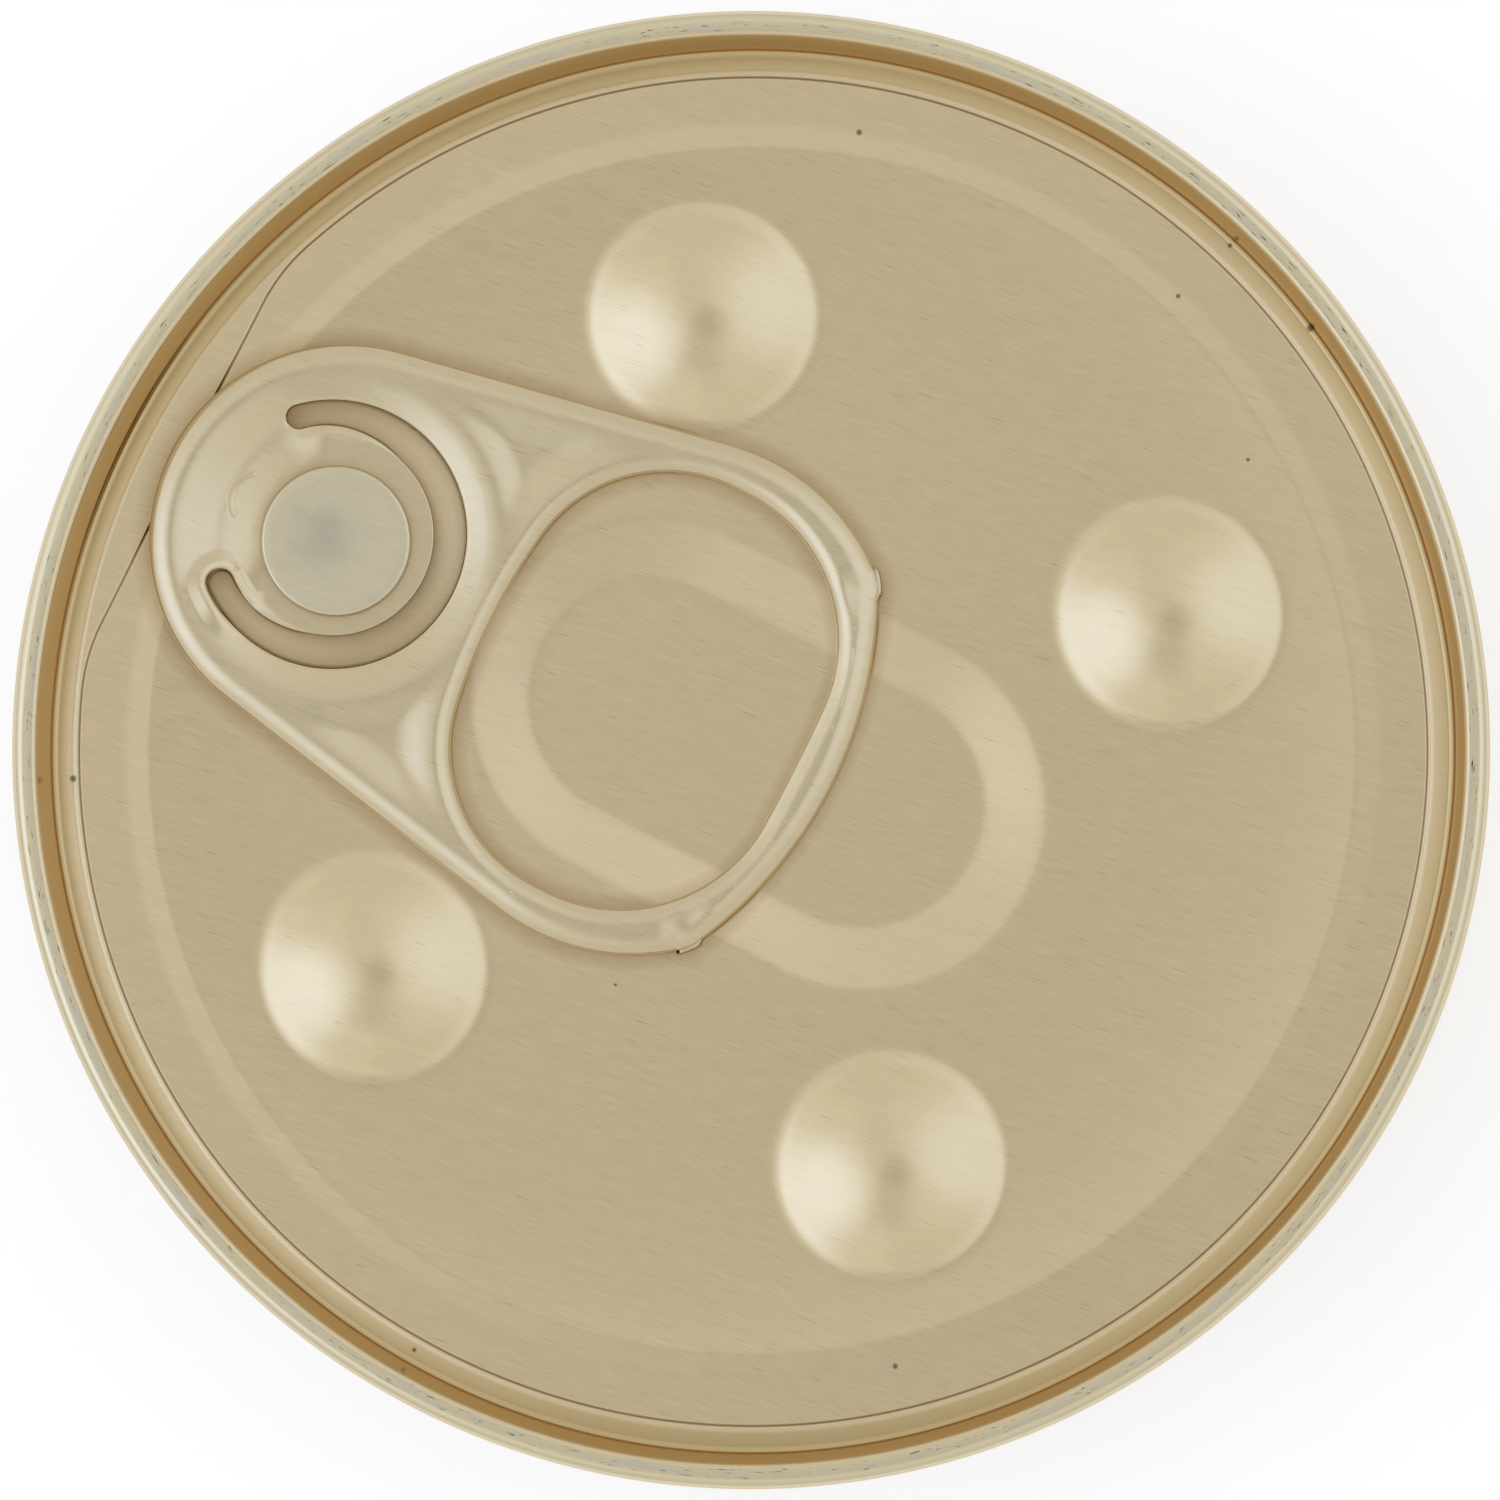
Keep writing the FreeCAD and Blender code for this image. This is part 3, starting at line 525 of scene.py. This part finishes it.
def rivet_centre_shade(tree, colour):
    """The middle of the head is painted a darker, greyer patch with a ragged edge: a painted
    reflection of the dark overhead in the flat head.
    """
    place = node(tree, "TexCoord").outputs["Object"]
    off = node(tree, "VectorMath", {0: place, 1: ((RIVET_X - 0.4) * MM, 0, HEAD_TOP * MM)},
               operation="DISTANCE").outputs["Value"]
    cloud = node(tree, "TexNoise", {0: place, "Scale": 700.0, "Detail": 3.0})
    ragged = node(tree, "MapRange", {0: cloud.outputs[0], 1: 0.3, 2: 0.7, 3: -0.6 * MM,
                                     4: 0.6 * MM})
    off = node(tree, "Math", {0: off, 1: ragged.outputs[0]}, operation="ADD")
    share = node(tree, "MapRange", {0: off.outputs[0], 1: 2.3 * MM, 2: 0.1 * MM, 4: 0.75},
                 interpolation_type="SMOOTHSTEP")
    return node(tree, "Mix", {0: share.outputs[0], 6: colour, 7: linear("#B7AF9A")},
                data_type="RGBA").outputs[2]


coined = lacquered_aluminium("coined_aluminium", "#CFC4A4", roughness=0.26, grain=0.3,
                             finish=rivet_centre_shade)
piece("rivet_head", *spun(head_profile, (RIVET_X, 0), steps=160), rolled_flat, coined,
      "lacquered_lid", "lid")

# --- pull tab -----------------------------------------------------------------------------------
# A ring-pull stamped from lacquered aluminium strip, its edge and its finger hole curled under
# for stiffness. A C-shaped slot frees the tongue that the rivet holds, so that the nose can tip.
TAB_SHEET = 0.28
CREST, EDGE_LEVEL = 35.82, 35.35    # heights of the rolled rim's top and its outermost line
OUTER_REACH, HOLE_REACH = 0.95, 0.78    # from the rim's top out to its outermost line
VALLEY, VALLEY_WIDTH = 0.16, 1.8    # how far the web lies under the rim, and its slope's width
EYE_X, EYE_Y = -22.01, 0.2      # the middle of the slot, a little off the rivet
TONGUE_TOP, TONGUE_RADIUS, SLOT_RADIUS = 35.01, 4.7, 6.25
BEAD_RADIUS = 7.85              # the bead's top; the sheet falls from it to the slot
DENT_X, DENT_RADIUS = -25.75, 1.35  # the small curved dent in the tongue's root
STUBS = [(1.65, 9.55), (1.25, -9.2)]
TAB_MIDDLE = (-5.0, 0)          # the stubs point away from it
STUB_LENGTH, STUB_PRESSED = 0.14, 0.10
# Circles (x, y, r) that the outline and the finger hole are wrapped round.
outline = [(-16.153, 0.2, 20.2), (-0.782, 7.917, 3.0), (-5.303, 2.25, 10.25),
           (-21.303, 0.2, 9.2), (-5.303, -1.85, 10.25), (-0.782, -7.517, 3.0)]
finger_hole = [(-80.077, 0.2, 82.154), (-5.573, 2.93, 7.6), (-6.273, 3.48, 7.05),
               (15.119, 0.2, 28.692), (-6.273, -3.08, 7.05), (-5.573, -2.53, 7.6)]


def slot_loop(by=0.0, step=0.12):
    """The C-shaped slot round the tongue, grown by a distance. Its two ends taper."""
    first, last = -130, 133         # degrees from the tab's own direction
    count = round(math.radians(last - first) * 5.4 / step)
    turns = np.radians(np.linspace(first, last, count))
    taper = smooth((np.abs(np.degrees(turns)) - 70) / 60)
    inner = TONGUE_RADIUS + 0.42 * taper
    middle = (SLOT_RADIUS + inner) / 2
    half = (SLOT_RADIUS - inner) / 2 + by
    ends = []
    for n, way in ((-1, 1), (0, -1)):
        turn, m, h = turns[n], middle[n], half[n]
        a = np.linspace(0, math.pi, max(8, round(math.pi * h / step)))[1:-1]
        out, round_end = m + way * h * np.cos(a), h * np.sin(a) * way
        ends.append(np.stack([out * math.cos(turn) - round_end * math.sin(turn),
                              out * math.sin(turn) + round_end * math.cos(turn)], axis=1))
    far = np.stack([(middle + half) * np.cos(turns), (middle + half) * np.sin(turns)], axis=1)
    near = np.stack([(middle - half) * np.cos(turns), (middle - half) * np.sin(turns)], axis=1)
    return np.concatenate([far, ends[0], near[::-1], ends[1]]) + (EYE_X, EYE_Y)


outer_crest, outer_normals = wrap(outline, by=-OUTER_REACH, step=0.14)
inner_crest, inner_normals = wrap(finger_hole, by=HOLE_REACH, step=0.14)
slot_edge = slot_loop()


def web_height(x, y):
    """Top of the tab's web: hollow between its rims, and a bead round the slot, inside which the
    tongue ramps down to the rivet. At the nose the tongue's root is pressed low."""
    outer, inner = to_loop(x, y, outer_crest), to_loop(x, y, inner_crest)
    rho = np.hypot(x - EYE_X, y - EYE_Y)
    turn = np.degrees(np.arctan2(y - EYE_Y, x - EYE_X))
    hollow = smooth(outer / VALLEY_WIDTH) * smooth(inner / VALLEY_WIDTH)
    beyond = smooth((rho - BEAD_RADIUS) / 1.6)
    climb = np.maximum(BEAD_RADIUS - rho, 0)
    fall = np.where(climb < 0.9, 0.089 * climb ** 2, 0.072 + 0.16 * (climb - 0.9))
    side = np.where(rho < SLOT_RADIUS,
                    np.interp(rho, [TONGUE_RADIUS, SLOT_RADIUS], [TONGUE_TOP, CREST - 0.184]),
                    CREST - fall - VALLEY * hollow * beyond)
    from_rivet = np.hypot(x - RIVET_X, y)
    nose = np.interp(from_rivet, [3.4, 4.0, 5.2, 6.4], [35.02, 35.08, 35.30, 35.42])
    nose = nose + (CREST - nose) * (1 - smooth(outer / 2.2))
    share = smooth((np.abs(turn) - 120) / 26)
    z = side * (1 - share) + nose * share
    edge = to_loop(x, y, slot_edge)
    # A pinch stands up at one end of the slot, and the punch left its edge a little rounded.
    pinch = smooth((-turn - 104) / 22) * smooth((200 + turn) / 30) * (rho > TONGUE_RADIUS)
    z = z + 0.22 * pinch * smooth(edge / 0.2) * np.clip((1.0 - edge) / 0.8, 0, 1)
    crease = np.hypot(x - DENT_X, y) - DENT_RADIUS
    dent = (1 - smooth(np.abs(crease) / 0.13)) * (x < DENT_X - 0.8)
    burr = (1 - smooth(edge / 0.12)) * (rho > (TONGUE_RADIUS + SLOT_RADIUS) / 2)
    return z - 0.05 * burr - 0.10 * dent


def curled(points, normals, out, reach):
    """Rows of an edge rolled over and curled under, from its top outwards: out is +1 away from
    the web. A broad arc meets a tight one where the rim is 30 degrees steep."""
    # The two radii that bring both arcs together: 0.268 is the tangent of 15 degrees.
    drop = CREST - EDGE_LEVEL
    tight = (drop - 0.268 * reach) / 0.732
    broad = 2 * reach - tight
    under = 0.3                     # radius of the curl under the outermost line
    rows = []
    for steep in list(range(0, 30, 3)) + list(range(30, 90, 6)) + list(range(90, 210, 8)):
        a = math.radians(steep)
        if steep <= 30:
            shift, z = broad * math.sin(a), CREST - broad * (1 - math.cos(a))
        elif steep <= 90:
            shift, z = reach - tight * (1 - math.sin(a)), EDGE_LEVEL + tight * math.cos(a)
        else:
            shift, z = reach - under * (1 - math.sin(a)), EDGE_LEVEL + under * math.cos(a)
        rows.append(np.column_stack([points + normals * out * shift, np.full(len(points), z)]))
    return rows


def sheared(coords):
    """The two places where the tab was cut from its strip: the rim is pressed down and a short
    stub stands out."""
    coords = coords.copy()
    for stub in np.array(STUBS):
        way = (stub - TAB_MIDDLE) / np.linalg.norm(stub - TAB_MIDDLE)
        off = coords[:, :2] - stub
        across, out = off @ (-way[1], way[0]), off @ way
        flat = (1 - smooth(np.abs(across) / 1.5)) * smooth((out + 1.9) / 1.2)
        coords[:, 2] -= STUB_PRESSED * flat * (coords[:, 2] > EDGE_LEVEL)
        stands = (1 - smooth((np.abs(across) - 0.5) / 0.2)) * smooth((out + 0.5) / 0.4)
        coords[:, :2] += np.outer(STUB_LENGTH * stands, way)
    return coords


tab_creases = [wrap(outline, by=-OUTER_REACH - 0.12, step=0.14)[0],
               wrap(finger_hole, by=HOLE_REACH + 0.12, step=0.14)[0]]
tab_creases += [slot_loop(by, 0.14) for by in (0.06, 0.14, 0.22, 0.5, 0.95, 1.02)]
tab_creases += [ring(DENT_X, 0, r, step=0.1)
                for r in (1.15, 1.22, 1.28, 1.35, 1.42, 1.48, 1.55)]
TAB_SPACING = 0.24              # between the mesh points of the plain sheet
tab_coords, tab_faces = formed_sheet(outer_crest, [inner_crest, slot_edge], tab_creases,
                                     TAB_SPACING, web_height)
tab_coords = list(map(tuple, tab_coords))
for crest, normals, out, reach in ((outer_crest, outer_normals, 1, OUTER_REACH),
                                   (inner_crest, inner_normals, -1, HOLE_REACH)):
    rows, count = curled(crest, normals, out, reach), len(crest)
    base = len(tab_coords)
    for row in rows:
        tab_coords += list(map(tuple, row))
    for i in range(len(rows) - 1):
        for j in range(count):
            k = (j + 1) % count
            quad = [base + i * count + j, base + i * count + k,
                    base + (i + 1) * count + k, base + (i + 1) * count + j]
            tab_faces.append(quad[::-1] if out > 0 else quad)
tab_sheet = lacquered_aluminium("curled_gold_lacquered_aluminium", "#D1C19C", roughness=0.19,
                                nook_shade="#E9DAC0")
ring_tab = piece("ring_tab", sheared(np.array(tab_coords)), tab_faces, rolled_flat, tab_sheet,
                 "lacquered_tab", "pull_tab")
weld = ring_tab.modifiers.new("weld", "WELD")
weld.merge_threshold = 0.002 * MM
thick = ring_tab.modifiers.new("sheet", "SOLIDIFY")
thick.thickness = TAB_SHEET * MM
thick.offset = -1

# --- stage: floor, lights and camera ------------------------------------------------------------
# A matt white table under two soft boxes, one each side, in a pale room. The camera looks down on
# the lid. None of it belongs to the can.
table = bpy.data.materials.new("white_table")
table.use_nodes = True
tree = table.node_tree
tree.nodes.clear()
rays = node(tree, "LightPath")
seen = node(tree, "Math", {0: rays.outputs["Is Camera Ray"], 1: rays.outputs["Is Glossy Ray"]},
            operation="MAXIMUM")
seen = node(tree, "Math", {0: seen.outputs[0], 1: rays.outputs["Is Transmission Ray"]},
            operation="MAXIMUM")
# It shows as white to the camera and in reflections, without lighting the can.
glow = node(tree, "Math", {0: seen.outputs[0], 1: 0.3}, operation="MULTIPLY")
paint = node(tree, "BsdfPrincipled", {
    "Base Color": linear("#F2F2F2"), "Roughness": 0.7, "Specular IOR Level": 0.2,
    "Emission Color": (1, 1, 1, 1), "Emission Strength": glow.outputs[0]})
node(tree, "OutputMaterial", {0: paint.outputs[0]})
floor_mesh = bpy.data.meshes.new("floor")
floor_mesh.from_pydata([(-3, -3, 0), (3, -3, 0), (3, 3, 0), (-3, 3, 0)], [], [(0, 1, 2, 3)])
floor_mesh.materials.append(table)
floor = bpy.data.objects.new("floor", floor_mesh)
bpy.context.scene.collection.objects.link(floor)

# The camera looks almost straight down, turned so that the tab points up and to the left.
RIGHT = Vector((0.8926, 0.4509, 0))
UPWARD = Vector((-0.4509, 0.8926, 0))
LEAN = math.radians(2.7)
DISTANCE, SENSOR = 1.0, 36      # metres, and millimetres
VIEW_WIDTH = 0.069645           # metres across the frame, level with the seam's top
target = Vector((0, 0, 0.038)) + RIGHT * 0.000011 - UPWARD * 0.000044
lean_x, lean_y = 0.985, -0.175  # the side that the camera leans to
back = Vector((lean_x * math.sin(LEAN), lean_y * math.sin(LEAN), math.cos(LEAN))).normalized()
across = UPWARD.cross(back).normalized()
lens = bpy.data.cameras.new("camera")
lens.sensor_width = SENSOR
lens.lens = SENSOR * DISTANCE / VIEW_WIDTH
camera = bpy.data.objects.new("camera", lens)
camera.matrix_world = Matrix.Translation(target + back * DISTANCE) @ Matrix(
    (across, back.cross(across), back)).transposed().to_4x4()
bpy.context.scene.collection.objects.link(camera)
bpy.context.scene.camera = camera


def towards(side, tilt):
    """The direction tilt degrees off the vertical towards side."""
    return (side.normalized() * math.sin(math.radians(tilt))
            + Vector((0, 0, math.cos(math.radians(tilt)))))


def soft_box(name, side, tilt, size, level, colour):
    """An oblong lamp that faces the lid, tilt degrees off the vertical towards side."""
    lamp = bpy.data.lights.new(name, "AREA")
    lamp.shape = "RECTANGLE"
    lamp.size, lamp.size_y = size
    lamp.energy = level
    lamp.color = linear(colour)[:3]
    made = bpy.data.objects.new(name, lamp)
    aim = towards(side, tilt)
    made.location = Vector((0, 0, 0.036)) + aim * 0.9
    made.rotation_euler = aim.to_track_quat("Z", "Y").to_euler()
    bpy.context.scene.collection.objects.link(made)


LEFT_SIDE = -RIGHT * 0.97 - UPWARD * 0.24
RIGHT_SIDE = RIGHT * 0.96 + UPWARD * 0.26
soft_box("left_box", LEFT_SIDE, 36, (1.2, 0.9), 0.3, "#E6EEFF")
soft_box("right_box", RIGHT_SIDE, 30, (1.0, 0.9), 0.2, "#E6EEFF")

world = bpy.data.worlds.new("pale_room")
bpy.context.scene.world = world
world.use_nodes = True
tree = world.node_tree
tree.nodes.clear()
heading = node(tree, "TexCoord").outputs["Generated"]
light = node(tree, "VectorMath", {0: linear("#FCFDFF")[:3], 3: 0.845}, operation="SCALE")
# What the lid mirrors: the soft light on the walls each side, and two darker places overhead.
# Each has a direction, the angles where it ends and where it is full, a level and a colour.
for way, reach, full, level, hue in (
        (towards(LEFT_SIDE, 32), 25, 3, 0.78, "#AAC4FF"),
        (towards(-RIGHT * 0.93 + UPWARD * 0.36, 60), 26, 2, 0.30, "#C8D8FF"),
        (towards(RIGHT_SIDE, 28), 27, 2, 0.37, "#AAC4FF"),
        (towards(Vector((0.2, -0.98, 0)), 16), 11, 2, -0.12, "#F8FAFF"),
        (back + Vector((0, 0, 1)), 9, 0, -0.23, "#F8FAFF")):
    facing = node(tree, "VectorMath", {0: heading, 1: tuple(way.normalized())},
                  operation="DOT_PRODUCT")
    share = node(tree, "MapRange", {0: facing.outputs["Value"], 1: math.cos(math.radians(reach)),
                                    2: math.cos(math.radians(full)), 3: 0.0, 4: level},
                 interpolation_type="SMOOTHSTEP")
    glow = node(tree, "VectorMath", {0: linear(hue)[:3], 3: share.outputs[0]}, operation="SCALE")
    light = node(tree, "VectorMath", {0: light.outputs[0], 1: glow.outputs[0]}, operation="ADD")
sky = node(tree, "Background", {0: light.outputs[0], 1: 1.0})
node(tree, "OutputWorld", {0: sky.outputs[0]})

bpy.context.scene.view_settings.view_transform = "Standard"
